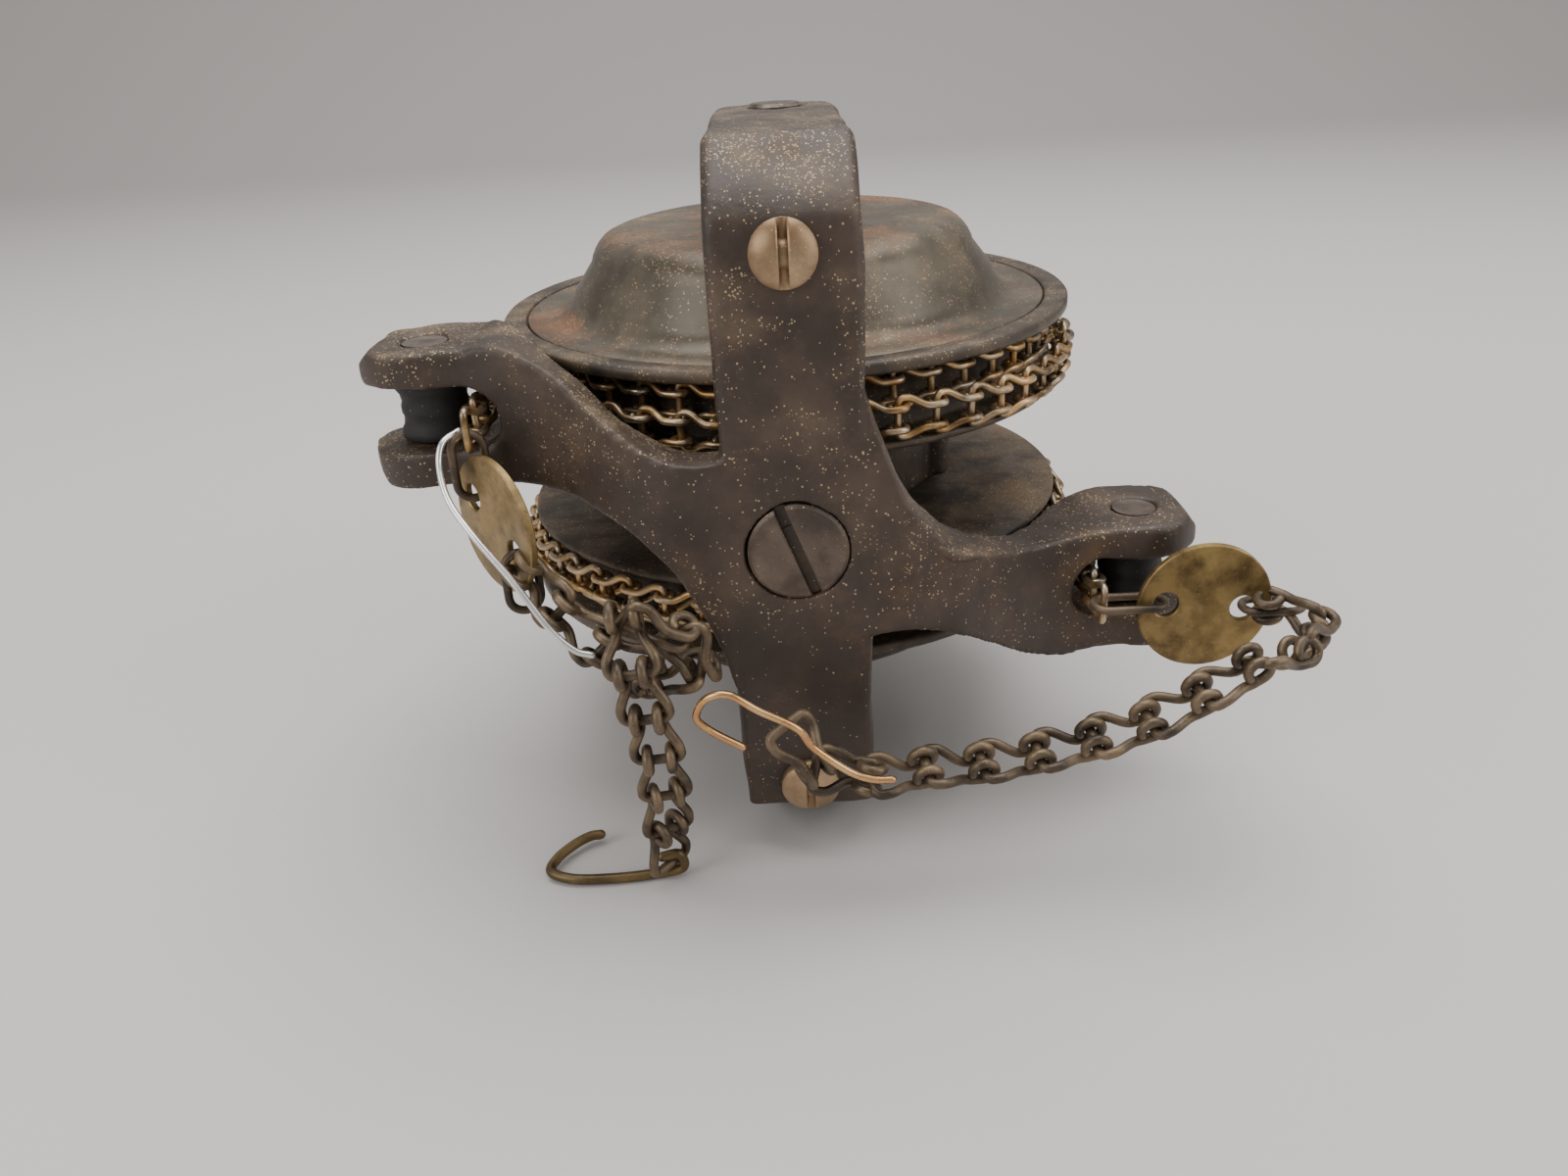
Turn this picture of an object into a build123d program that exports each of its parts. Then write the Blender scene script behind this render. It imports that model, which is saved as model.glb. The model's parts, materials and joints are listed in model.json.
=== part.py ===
"""Spring-balanced lamp chain lift: two spring drums on one axle in a cast cross frame.

Frame of the part: the origin is the middle of the flat underside of the lower arm, on the
drum axle's line. +Z runs up the axle and -Y is the front, the side with the three screws.
In use the front faces the floor: the chains leave towards -Y and the lamp hangs from them.
The right and lower half is the left and upper half turned 180 degrees about the Y line
through the middle of the hub, so most pieces are written once, for the left and upper half.
"""

from build123d import *
from math import atan2, cos, degrees, radians, sin, tan
import os

# ---- driving dimensions, mm ----
HALF_HEIGHT = 56.0  # middle of the hub to the outside of either arm
ARM_THICK = 6.5  # thickness of the cast strap and of the arms
HUB_WIDTH = 24.0  # width of the hub between the fork arms
STRAP_WIDTH = 21.0
HUB_FACE = 60.0  # axle to the hub's front face
BEND_FACE = 56.5  # axle to the front face where the bend starts
BEND_START = 47.0  # height of the bend's start above the middle
CREASE = 48.0  # axle to the front edge of the arm's outer face
HUB_FLAT = 14.0  # half height of the hub's flat face
EDGE_ROUND = 1.4  # rounding along the strap
BEND_ROUND = 2.5  # inner radius of the strap's bends

AXLE_R = 4.5
AXLE_PROUD = 0.6  # how far the axle stands out of the upper arm
AXLE_BLIND = 3.2  # depth of the axle's seat in the lower arm
FIT = 0.05  # radial clearance of a running fit
SEAT = 0.15  # clearance of a piece that is only seated

DRUM_R = 50.0  # brim
FLANGE_R = DRUM_R - 1.0  # inner flange
CHAIN_SEAT = 7.5  # depth from the brim in to the wall
WALL_R = DRUM_R - CHAIN_SEAT
WALL_THICK = 1.9
INNER_GAP = 10.0  # middle to the inner flange
BRIM_TOP = 24.2  # middle to the brim's outer face
PLATE = 1.4  # flange and brim thickness
RIM = 4.1  # width of the brim outside the cover's edge
DOME_BASE_R = DRUM_R - 13.0
DOME_TOP_R = DOME_BASE_R - 3.6
DOME_TOP = 37.5
SHEET = 1.1  # cover thickness
FLARE = 4.5  # bend from the dome's side to its edge
DOME_ROUND = 6.5  # bend from the dome's side to its top
NOTCH = 0.8  # key notch across the cover's edge
BUSH_R = 6.6

ARBOR_R = 9.0
SPRING_THICK = 0.8
SPRING_HIGH = 15.0
SPRING_TURNS = 9
SPRING_IN_R = 10.2
SPRING_OUT_R = WALL_R - 11.5
COLLAR_R = 8.0

BOSS_R = 27.5
BOSS_HALF = 8.5
NECK_WIDE = 18.0
NECK_HIGH = 13.0
EYE_Y = 62.0  # axle to the hanger eye
EYE_R = 10.5
EYE_BORE_R = 5.2
EYE_THICK = 9.0

CHAIN_Z = 17.2  # middle to the plane of either drum chain
CHAIN_R = DRUM_R - 2.0  # axle to the middle of the outermost chain turn
PIN_X = CHAIN_R + 8.3  # clears the lead by a roller's radius
PIN_Y = 33.0
PIN_R = 3.5
EAR_R = 10.3
SLOT_HIGH = 12.0
SLOT_END = CHAIN_R - 4.0  # axle line to the slot's closed end
FORK_HALF = 10.2  # half height of the fork
ROLLER_R = 5.8
ROLLER_WAIST = 5.2
ROLLER_HIGH = 11.2

SCREW_HEAD_R = 4.65
SCREW_HEAD_HIGH = 3.1
SCREW_SHANK_R = 2.3
SCREW_SHANK = 9.5
SCREW_Z = 42.0
CENTRE_HEAD_R = 7.4
CENTRE_HEAD_HIGH = 2.6
CENTRE_SHANK_R = 4.0
CENTRE_SHANK = 20.0
SLOT_LEAN = 20.0  # lean of the centre screw's slot, degrees

DISC_R = 10.6
DISC_THICK = 1.2
DISC_HOLE_R = 2.1
DISC_HOLE_AT = 6.2  # disc centre to either hole

RING_WIRE_R = 0.65  # rings that join the discs to the chains
RING_HALF = 2.4  # half the width between the ring's sides


class LadderLink:
    """Sizes of a ladder chain link: one rung, two legs, each ending in a hook."""

    def __init__(self, pitch, wire, width, play):
        self.pitch = pitch
        self.wire_r = wire / 2
        self.half = (width - wire) / 2  # rung centre to leg
        self.hook_half = self.half - wire - play  # rung centre to hook
        self.hook_r = wire + play
        self.straight = self.hook_r + self.wire_r + play

    def solid(self):
        """The link with its rung along Y at the origin and the next rung at +X."""
        r, p = self.hook_r, self.pitch
        a, b = self.half, self.hook_half
        reach = p - 1.15 * r
        side = [
            (p - r, b, -0.25 * r),
            (p - r, b, -r),
            (p + r, b, -r),
            (p + r, b, r),
            (reach, b, r),
            (self.straight, a, 0),
            (0, a, 0),
        ]
        curl, bend = 0.9 * r, 1.1 * self.wire_r + 0.1
        bends = [0.6 * r, curl, curl, 0.5 * r, bend, bend]
        mirrored = [(x, -y, z) for x, y, z in reversed(side)]
        path = FilletPolyline(*side, *mirrored, radius=bends + bends[::-1])
        start = Plane(path @ 0, z_dir=path % 0)
        return sweep(start * Circle(self.wire_r), path=path)


DRUM_LINK = LadderLink(pitch=6.6, wire=1.05, width=6.3, play=0.15)
LAMP_LINK = LadderLink(pitch=8.5, wire=1.7, width=8.3, play=0.28)
TURN_DROP = 3.6  # how much further in each turn lies
CHAIN_HIGH = 6.3  # width of the drum chain, along the axle
LEAD_LINKS = 4  # straight links between the drum and the disc
LEAD_END = -48.8  # the lead's last rung

LAMP_CHAIN_R = 3.0
COPPER_R = 0.7
STEEL_R = 0.55
HOOK_RUNG = (-24.0, -62.0, -53.15)  # middle of the rung in the hook's eye

# Each disc: its middle, the direction across its two holes, and the way it faces.
LEFT_DISC = ((-45.0, -51.6, 3.6), (0.56, -0.65, -0.51), (-0.757, -0.653, 0.0))
RIGHT_DISC = ((63.8, -49.0, -17.8), (1, 0, -0.1), (0, -1, 0))

# Routes of the free chains and wires, from the hub's middle; each hangs or lies as drawn.
LEFT_CHAIN = [
    (-37.0, -60.5, -5.5), (-33.0, -63.0, -9.5), (-27.0, -62.5, -14.0), (-20.0, -61.0, -19.0), (-13.5, -62.5, -17.5), (-14.5, -64.0, -11.0), (-20.0, -66.0, -6.0),
    (-24.5, -71.0, -7.0), (-24.0, -72.0, -14.5), (-22.5, -69.5, -23.5), (-22.0, -67.0, -33.0),
    (-22.8, -65.5, -39.5),
]
RIGHT_CHAIN = [
    (76.0, -56.0, -18.6), (80.3, -58.0, -19.3), (80.8, -63.0, -20.6), (76.0, -66.5, -21.0),
    (69.5, -66.5, -20.0), (63.0, -66.0, -20.5), (57.5, -66.0, -24.5), (50.0, -66.0, -28.3),
    (42.0, -66.0, -30.6), (33.5, -66.0, -32.6), (25.0, -66.5, -33.6), (16.5, -67.5, -33.3),
    (8.5, -69.0, -33.0), (3.0, -71.0, -32.0),
]
COPPER_WIRE = [
    (-9.0, -67.5, -29.0), (-14.0, -68.5, -26.0), (-17.0, -71.0, -21.5), (-15.0, -73.5, -17.0),
    (-9.5, -75.5, -16.0), (-2.5, -76.0, -20.8), (-0.3, -76.0, -25.0), (5.5, -75.5, -31.0),
    (11.5, -74.0, -33.5),
]
STEEL_WIRE = [
    (-51.5, -47.2, 17.0), (-53.4, -49.0, 14.5), (-53.6, -51.5, 11.5), (-52.2, -55.5, 7.0),
    (-47.5, -61.5, 2.0), (-39.0, -66.3, -7.0), (-33.5, -67.5, -12.0), (-28.5, -67.6, -13.2),
]

MIDDLE = Location((0, 0, HALF_HEIGHT))
HALF_TURN = Location((0, 0, 0), (0, 180, 0))


def turned_half(shape):
    """The same piece on the other half: turned 180 degrees about the Y line."""
    return HALF_TURN * shape


def ring(outer_r, inner_r, low, high):
    """A plain tube about the axle."""
    tube = Cylinder(outer_r, high - low) - Cylinder(inner_r, high - low)
    return Pos(0, 0, (low + high) / 2) * tube


# ---- cast frame ----
def strap():
    """The C-shaped strap: a rounded bar carried along the C, with round ends at the axle."""
    mid, far = ARM_THICK / 2, STRAP_WIDTH / 2
    upper = [
        (0, far + 1, HALF_HEIGHT - mid),
        (0, -CREASE + 0.4 * mid, HALF_HEIGHT - mid),
        (0, -BEND_FACE + mid, BEND_START),
        (0, -HUB_FACE + mid, HUB_FLAT),
    ]
    lower = [(x, y, -z) for x, y, z in reversed(upper)]
    bends = [BEND_ROUND + mid, BEND_ROUND + mid, 4 * BEND_ROUND]
    path = FilletPolyline(*upper, *lower, radius=bends + bends[::-1])
    section = Plane(path @ 0, x_dir=(1, 0, 0), z_dir=path % 0)
    bar = sweep(section * RectangleRounded(STRAP_WIDTH, ARM_THICK, EDGE_ROUND), path=path)
    reach = HUB_FACE + 20
    tongue = Rectangle(2 * STRAP_WIDTH, reach, align=(Align.CENTER, Align.MAX))
    return bar & extrude(tongue + Circle(STRAP_WIDTH / 2), HALF_HEIGHT + 1, both=True)


def fork_arm():
    """The right fork arm: its front outline cut to its plan, then slotted and bored."""
    top, low = -CHAIN_Z + FORK_HALF, -CHAIN_Z - FORK_HALF
    far = PIN_X + EAR_R
    h = HUB_WIDTH / 2
    upper = Spline((h - 2, 24), (h + 0.3, 16), (16, 6.5), (24, -2.5), (36, top), (48, top - 0.3))
    lower = Spline((48, low), (38, low + 0.6), (31, low + 5), (23, -16.5), (h - 2, -14.5))
    edges = [upper, Line(upper @ 1, (far - 3, top)), lower, Line((far - 3, low), lower @ 0)]
    edges += [Line((far - 3, top), (far, top - 2.5)), Line((far, top - 2.5), (far, low + 2.5))]
    edges += [Line((far, low + 2.5), (far - 3, low)), Line(lower @ 1, upper @ 0)]
    front = extrude(Plane.XZ * make_face(edges), HUB_FACE + 20)
    ear_front, ear_back = -PIN_Y - EAR_R, -PIN_Y + EAR_R
    face = Spline((h + 1, -HUB_FACE), (22, -57.5), (34, -49), (46, ear_front), (PIN_X, ear_front))
    back = Spline((PIN_X, ear_back), (47, -25), (36, -39), (24, -48.5), (h - 2, -HUB_FACE + ARM_THICK))
    ear = ThreePointArc((PIN_X, ear_front), (far, -PIN_Y), (PIN_X, ear_back))
    hub = Polyline(back @ 1, (0, -HUB_FACE + ARM_THICK), (0, -HUB_FACE), face @ 0)
    plan = Pos(0, 0, -HALF_HEIGHT) * extrude(make_face([face, ear, back, hub]), 2 * HALF_HEIGHT)
    arm = front & plan
    slot_long = far - SLOT_END + 10
    bar = Box(slot_long, 60, SLOT_HIGH, align=(Align.MIN, Align.CENTER, Align.CENTER))
    ends = bar.edges().filter_by(Axis.Y).group_by(Axis.X)[0]
    arm -= Pos(SLOT_END, -PIN_Y, -CHAIN_Z) * fillet(ends, SLOT_HIGH / 2 - 0.4)
    return arm - Pos(PIN_X, -PIN_Y, 0) * Cylinder(PIN_R + FIT, 3 * HALF_HEIGHT)


def screw_place(z):
    """Where a side screw's head meets the strap's sloping front face."""
    slope = (HUB_FACE - BEND_FACE) / (BEND_START - HUB_FLAT)
    y = -HUB_FACE - SEAT / 3 + slope * (abs(z) - HUB_FLAT)
    lean = degrees(atan2(slope, 1)) * (-1 if z > 0 else 1)
    return Pos(0, y, z) * Rot(lean, 0, 0) * Rot(90, 0, 0)


def frame_casting():
    """The whole casting: strap, two fork arms and every bore in it."""
    arm = fork_arm()
    body = strap() + arm + turned_half(arm)
    up = (Align.CENTER, Align.CENTER, Align.MIN)
    body -= Pos(0, 0, AXLE_BLIND - HALF_HEIGHT) * Cylinder(AXLE_R + FIT, 3 * HALF_HEIGHT, align=up)
    face = Pos(0, -HUB_FACE, 0) * Rot(90, 0, 0)
    seat = Cylinder(CENTRE_HEAD_R + SEAT, 2 * CENTRE_HEAD_HIGH)
    body -= face * (seat + Cylinder(CENTRE_SHANK_R + FIT, 4 * ARM_THICK))
    for z in (SCREW_Z, -SCREW_Z):
        body -= screw_place(z) * Cylinder(SCREW_SHANK_R + FIT, 4 * ARM_THICK)
    return body


# ---- screws, axle and hanger ----
def round_head_screw(z):
    """A slotted round-head screw through the strap, at height z above the middle."""
    ball_r = (SCREW_HEAD_R**2 + SCREW_HEAD_HIGH**2) / (2 * SCREW_HEAD_HIGH)
    head = Pos(0, 0, SCREW_HEAD_HIGH - ball_r) * Sphere(ball_r)
    head &= Cylinder(2 * SCREW_HEAD_R, 20, align=(Align.CENTER, Align.CENTER, Align.MIN))
    head -= Pos(0, 0, SCREW_HEAD_HIGH) * Box(1.5, 20, 2.6)
    shank = Pos(0, 0, -SCREW_SHANK / 2) * Cylinder(SCREW_SHANK_R, SCREW_SHANK)
    return screw_place(z) * (head + shank)


def centre_screw():
    """The large flush screw that holds the hanger post to the hub."""
    head = Pos(0, 0, -CENTRE_HEAD_HIGH / 2 + 0.2) * Cylinder(CENTRE_HEAD_R, CENTRE_HEAD_HIGH)
    head = chamfer(head.edges().group_by(Axis.Z)[-1], 0.5)
    head -= Pos(0, 0, 0.2) * Rot(0, 0, SLOT_LEAN) * Box(1.7, 20, 2.8)
    shank = Pos(0, 0, -CENTRE_SHANK / 2 - 1) * Cylinder(CENTRE_SHANK_R, CENTRE_SHANK)
    return Pos(0, -HUB_FACE, 0) * Rot(90, 0, 0) * (head + shank)


def drum_axle():
    """The fixed axle, seated in the lower arm and standing just out of the upper one."""
    low, high = -HALF_HEIGHT + AXLE_BLIND, HALF_HEIGHT + AXLE_PROUD
    rod = Pos(0, 0, (low + high) / 2) * Cylinder(AXLE_R, high - low)
    return chamfer(rod.edges().group_by(Axis.Z)[-1], 0.5)


def hanger_post():
    """The boss between the drums, its neck to the hub and the shank with the hanging eye."""
    boss = fillet(Cylinder(BOSS_R, 2 * BOSS_HALF).edges().filter_by(GeomType.CIRCLE), 0.8)
    rib_turn = radians(-22)
    boss += Pos(BOSS_R * cos(rib_turn), BOSS_R * sin(rib_turn), 0) * Cylinder(3.0, 2 * BOSS_HALF - 2)
    seat = -HUB_FACE + ARM_THICK + SEAT / 2
    neck = Pos(0, seat / 2, 0) * Box(NECK_WIDE, -seat, NECK_HIGH)
    wide = Plane.XZ.offset(-20) * RectangleRounded(NECK_WIDE, NECK_HIGH, 3)
    slim = Plane.XZ.offset(-EYE_Y + 3) * RectangleRounded(EYE_THICK, 0.8 * NECK_HIGH, 3)
    shank = loft([wide, slim])
    eye = Pos(0, EYE_Y, 0) * Rot(0, 90, 0) * Cylinder(EYE_R, EYE_THICK)
    post = boss + neck + shank + fillet(eye.edges().filter_by(GeomType.CIRCLE), 1.0)
    post -= Pos(0, EYE_Y, 0) * Rot(0, 90, 0) * Cylinder(EYE_BORE_R, 2 * EYE_THICK)
    post -= Cylinder(AXLE_R + FIT, 4 * BOSS_HALF)
    deep = CENTRE_SHANK + 2
    post -= Pos(0, -HUB_FACE + deep / 2, 0) * Rot(90, 0, 0) * Cylinder(CENTRE_SHANK_R + FIT, deep)
    return post


# ---- upper drum, about the axle ----
def chain_drum():
    """The spool: inner flange, chain wall and brim, with a seat for the cover's edge."""
    low, top = INNER_GAP, BRIM_TOP
    spool = ring(FLANGE_R, BUSH_R, low, low + PLATE)
    spool += ring(WALL_R, WALL_R - WALL_THICK, low, top - SHEET)
    spool += ring(DRUM_R, WALL_R - WALL_THICK, top - PLATE - SHEET + 0.4, top)
    spool -= ring(DRUM_R - RIM, WALL_R - 2 * WALL_THICK, top - SHEET, top + 1)
    spool += ring(BUSH_R + 3, BUSH_R, low, low + 5)
    rims = spool.edges().filter_by(GeomType.CIRCLE).filter_by(lambda e: e.radius > FLANGE_R - 0.5)
    return chamfer(rims, 0.35)


def dome_cover():
    """The pressed cover: a flat edge, a flare, a leaning side and a flat top."""
    edge = DRUM_R - RIM - SEAT
    low = BRIM_TOP - SHEET
    outside = FilletPolyline(
        (edge, BRIM_TOP - 0.1), (DOME_BASE_R, BRIM_TOP - 0.1), (DOME_TOP_R, DOME_TOP),
        (ARBOR_R + 1.5, DOME_TOP), radius=[FLARE, DOME_ROUND],
    )
    inner_base, inner_top = DOME_BASE_R - SHEET, DOME_TOP_R - SHEET
    inside = FilletPolyline(
        (ARBOR_R + 1.5, DOME_TOP - SHEET), (inner_top, DOME_TOP - SHEET), (inner_base, low),
        (edge, low), radius=[DOME_ROUND - SHEET, FLARE + SHEET],
    )
    ends = [Line(outside @ 1, inside @ 0), Line(inside @ 1, outside @ 0)]
    cover = revolve(Plane.XZ * make_face([outside, inside, *ends]), Axis.Z)
    notch_at = radians(-68)
    reach = DRUM_R - RIM - 2.5
    notch = Pos(reach * cos(notch_at), reach * sin(notch_at), BRIM_TOP) * Rot(0, 0, -68)
    return cover - notch * Box(5.4, NOTCH, 1.0)


def drum_bush():
    """The brass bush pressed into the spool."""
    return ring(BUSH_R - SEAT / 3, AXLE_R + FIT, INNER_GAP - 0.6, INNER_GAP + 5)


def spring_arbor():
    """The sleeve on the axle that holds the spring's inner end."""
    sleeve = ring(ARBOR_R, AXLE_R + FIT, INNER_GAP + 6, DOME_TOP + 0.6)
    return sleeve - Pos(ARBOR_R, 0, INNER_GAP + 6 + SPRING_HIGH / 2 + 1) * Box(5, 1.6, SPRING_HIGH + 2)


def spiral(start_r):
    """Half circles that grow evenly, meeting on the X line, from start_r outwards."""
    grow = (SPRING_OUT_R - SPRING_IN_R) / (2 * SPRING_TURNS)
    arcs = []
    for k in range(2 * SPRING_TURNS):
        sign = 1 if k % 2 == 0 else -1
        near, far = start_r + k * grow, start_r + (k + 1) * grow
        top = (sign * (near - far) / 2, sign * (near + far) / 2)
        arcs.append(ThreePointArc((sign * near, 0), top, (-sign * far, 0)))
    return arcs


def mainspring():
    """The flat spiral spring, with a tab at its inner end that sits in the arbor's slot."""
    inner, outer = spiral(SPRING_IN_R), spiral(SPRING_IN_R + SPRING_THICK)
    ends = [Line(inner[0] @ 0, outer[0] @ 0), Line(inner[-1] @ 1, outer[-1] @ 1)]
    strip = extrude(make_face([*inner, *outer, *ends]), SPRING_HIGH)
    tab = Pos(SPRING_IN_R - 1.2, 0, SPRING_HIGH / 2) * Box(4.0, SPRING_THICK, SPRING_HIGH)
    return Pos(0, 0, INNER_GAP + 7) * (strip + tab)


def spacer_collar():
    """The collar that keeps the arbor off the arm."""
    return ring(COLLAR_R, AXLE_R + FIT, DOME_TOP + 0.8, HALF_HEIGHT - ARM_THICK - 0.1)


# ---- chains ----
def place(start, end, rung):
    """The location of a link from one rung's middle to the next, with its rung direction."""
    along = (Vector(*end) - Vector(*start)).normalized()
    return Plane(start, x_dir=along, z_dir=along.cross(Vector(*rung))).location


def wound_turn(turn):
    """The outer shape of one wound turn of the drum chain: a plain band about the axle."""
    middle = CHAIN_R - TURN_DROP * turn
    half = DRUM_LINK.hook_r + DRUM_LINK.wire_r
    return ring(middle + half, middle - half, CHAIN_Z - CHAIN_HIGH / 2, CHAIN_Z + CHAIN_HIGH / 2)


def chain_lead():
    """The straight run of drum chain from clear of the drum, past the roller, to the disc."""
    link = DRUM_LINK.solid()
    spots = [(-CHAIN_R, LEAD_END + k * DRUM_LINK.pitch, CHAIN_Z) for k in range(LEAD_LINKS + 1)]
    return Compound([place(a, b, (0, 0, 1)) * link for a, b in zip(spots, spots[1:])])


def corner_radii(route, least):
    """Radii for a route's corners: 0.45 of the shorter run over the tangent of half the turn."""
    points = [Vector(*p) for p in route]
    radii = []
    for a, b, c in zip(points, points[1:], points[2:]):
        turn = radians((b - a).get_angle(c - b))
        shorter = min((b - a).length, (c - b).length)
        radii.append(max(least, 0.45 * shorter / tan(turn / 2)))
    return radii


def tube(route, radius):
    """A round bar along straight runs joined by tangent arcs."""
    path = FilletPolyline(*route, radius=corner_radii(route, 0))
    return sweep(Plane(path @ 0, z_dir=path % 0) * Circle(radius), path=path)


def oval_ring(first, second, normal):
    """A closed oval link whose straight sides run from one end's centre to the other's."""
    a, b = Vector(*first), Vector(*second)
    along = (b - a).normalized()
    plane = Plane((a + b) / 2, x_dir=along, z_dir=along.cross(Vector(*normal)).cross(along))
    length = (b - a).length + 2 * RING_HALF
    path = plane * SlotOverall(length, 2 * RING_HALF).wire()
    return sweep(Plane(path @ 0, z_dir=path % 0) * Circle(RING_WIRE_R), path=path)


def stop_disc(centre, across, facing):
    """The brass stop plate: a thin disc with two holes in line with its middle."""
    disc = Cylinder(DISC_R, DISC_THICK)
    for x in (-DISC_HOLE_AT, DISC_HOLE_AT):
        disc -= Pos(x, 0, 0) * Cylinder(DISC_HOLE_R, 2 * DISC_THICK)
    disc = chamfer(disc.edges().filter_by(GeomType.CIRCLE), 0.2)
    return Plane(centre, x_dir=across, z_dir=facing).location * disc


def chain_hook():
    """The brass wire hook: an eye about the chain's last rung, a shank and a bent tip."""
    x, y, z = HOOK_RUNG
    r, w = LAMP_LINK.hook_r, LAMP_LINK.wire_r
    base = z - r
    side = [(x + 1.2, y, z + r), (x + r, y, z + r), (x + r, y, base)]
    shank = [(x - 8, y, base), (x - 17, y + 1.5, base), (x - 20.5, y + 3.5, base)]
    tip = [(x - 17.5, y + 9, base + 0.6), (x - 12.5, y + 12.5, base + 2.2)]
    path = FilletPolyline(*side, *shank, *tip, radius=[0.5, 0.9 * r, 20, 4, 1.6, 6])
    return sweep(Plane(path @ 0, z_dir=path % 0) * Circle(w), path=path)


def guide_roller():
    """The roller in the left fork: a spool with a slight waist."""
    half = ROLLER_HIGH / 2
    profile = [(PIN_R + FIT, -half), (ROLLER_R, -half), (ROLLER_R, -half + 1.6)]
    profile += [(ROLLER_WAIST, -half + 2.4), (ROLLER_WAIST, half - 2.4)]
    profile += [(ROLLER_R, half - 1.6), (ROLLER_R, half), (PIN_R + FIT, half)]
    body = revolve(Plane.XZ * make_face(Polyline(*profile, close=True)), Axis.Z)
    return Pos(-PIN_X, -PIN_Y, CHAIN_Z) * body


def roller_pin():
    """The plain pin of the left fork, flush with both ears."""
    return Pos(-PIN_X, -PIN_Y, CHAIN_Z) * Cylinder(PIN_R, 2 * FORK_HALF - 0.2)


def end_link():
    """The last link of the left lamp chain, its rung in the hook's eye."""
    x, y, z = HOOK_RUNG
    return place((x, y, z), (x + 1.5, y - 1.5, z + 8), (0, 1, 0)) * LAMP_LINK.solid()


upper_pieces = {
    "chain_drum": chain_drum(),
    "dome_cover": dome_cover(),
    "drum_bush": drum_bush(),
    "spring_arbor": spring_arbor(),
    "mainspring": mainspring(),
    "spacer_collar": spacer_collar(),
    "outer_chain_turn": wound_turn(0),
    "inner_chain_turn": wound_turn(1),
    "chain_lead": chain_lead(),
    "guide_roller": guide_roller(),
    "roller_pin": roller_pin(),
}
pieces = {
    "frame_casting": frame_casting(),
    "centre_screw": centre_screw(),
    "upper_brass_screw": round_head_screw(SCREW_Z),
    "lower_brass_screw": round_head_screw(-SCREW_Z),
    "drum_axle": drum_axle(),
    "hanger_post": hanger_post(),
    "left_disc_ring": oval_ring((-48.5, -47.6, 14.2), (-48.5, -47.6, 8.9), (0.35, -0.94, 0)),
    "right_disc_ring": oval_ring((48.9, -48.2, -17.2), (55.4, -48.2, -17.2), (0, 0, 1)),
    "left_lamp_ring": oval_ring((-41.5, -55.6, -1.9), (-41.5, -55.6, -6.6), (0.35, -0.94, 0)),
    "right_lamp_ring": oval_ring((72.4, -49.0, -18.5), (77.0, -49.0, -18.5), (0, 0, 1)),
    "left_stop_disc": stop_disc(*LEFT_DISC),
    "right_stop_disc": stop_disc(*RIGHT_DISC),
    "left_lamp_chain": tube(LEFT_CHAIN, LAMP_CHAIN_R),
    "right_lamp_chain": tube(RIGHT_CHAIN, LAMP_CHAIN_R),
    "left_end_link": end_link(),
    "chain_hook": chain_hook(),
    "copper_tie_wire": tube(COPPER_WIRE, COPPER_R),
    "steel_tie_wire": tube(STEEL_WIRE, STEEL_R),
}
for name, shape in upper_pieces.items():
    pieces[f"upper_{name}"] = shape
    pieces[f"lower_{name}"] = turned_half(shape)

os.makedirs("parts", exist_ok=True)
for name, shape in pieces.items():
    export_step(MIDDLE * shape, f"parts/{name}.step")
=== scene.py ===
"""Looks of the spring-balanced lamp chain lift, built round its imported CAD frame.

New pieces are worked out in millimetres, with the middle of the hub at height MIDDLE above
the base, and are written to their meshes in metres.
"""

import json
import math

import bpy
import numpy as np
from mathutils import Matrix, Vector


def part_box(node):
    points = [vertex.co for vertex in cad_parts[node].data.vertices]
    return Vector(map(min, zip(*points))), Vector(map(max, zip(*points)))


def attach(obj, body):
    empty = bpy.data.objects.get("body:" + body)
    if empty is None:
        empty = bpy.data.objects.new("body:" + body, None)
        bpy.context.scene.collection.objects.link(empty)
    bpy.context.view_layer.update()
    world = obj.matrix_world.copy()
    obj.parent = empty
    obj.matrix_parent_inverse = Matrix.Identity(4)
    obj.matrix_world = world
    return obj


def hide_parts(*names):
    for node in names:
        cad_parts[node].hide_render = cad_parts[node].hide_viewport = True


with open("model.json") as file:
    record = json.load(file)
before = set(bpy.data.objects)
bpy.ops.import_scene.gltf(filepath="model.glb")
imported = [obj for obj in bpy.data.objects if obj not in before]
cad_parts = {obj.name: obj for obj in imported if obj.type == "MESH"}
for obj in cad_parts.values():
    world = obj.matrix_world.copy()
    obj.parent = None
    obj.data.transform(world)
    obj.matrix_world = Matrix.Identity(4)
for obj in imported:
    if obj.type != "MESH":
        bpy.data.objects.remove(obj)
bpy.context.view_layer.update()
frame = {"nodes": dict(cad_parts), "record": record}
MM = 0.001


def box_mm(node):
    """A CAD node's lowest and highest corners in millimetres."""
    low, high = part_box(node)
    return np.array(low) / MM, np.array(high) / MM


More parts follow.
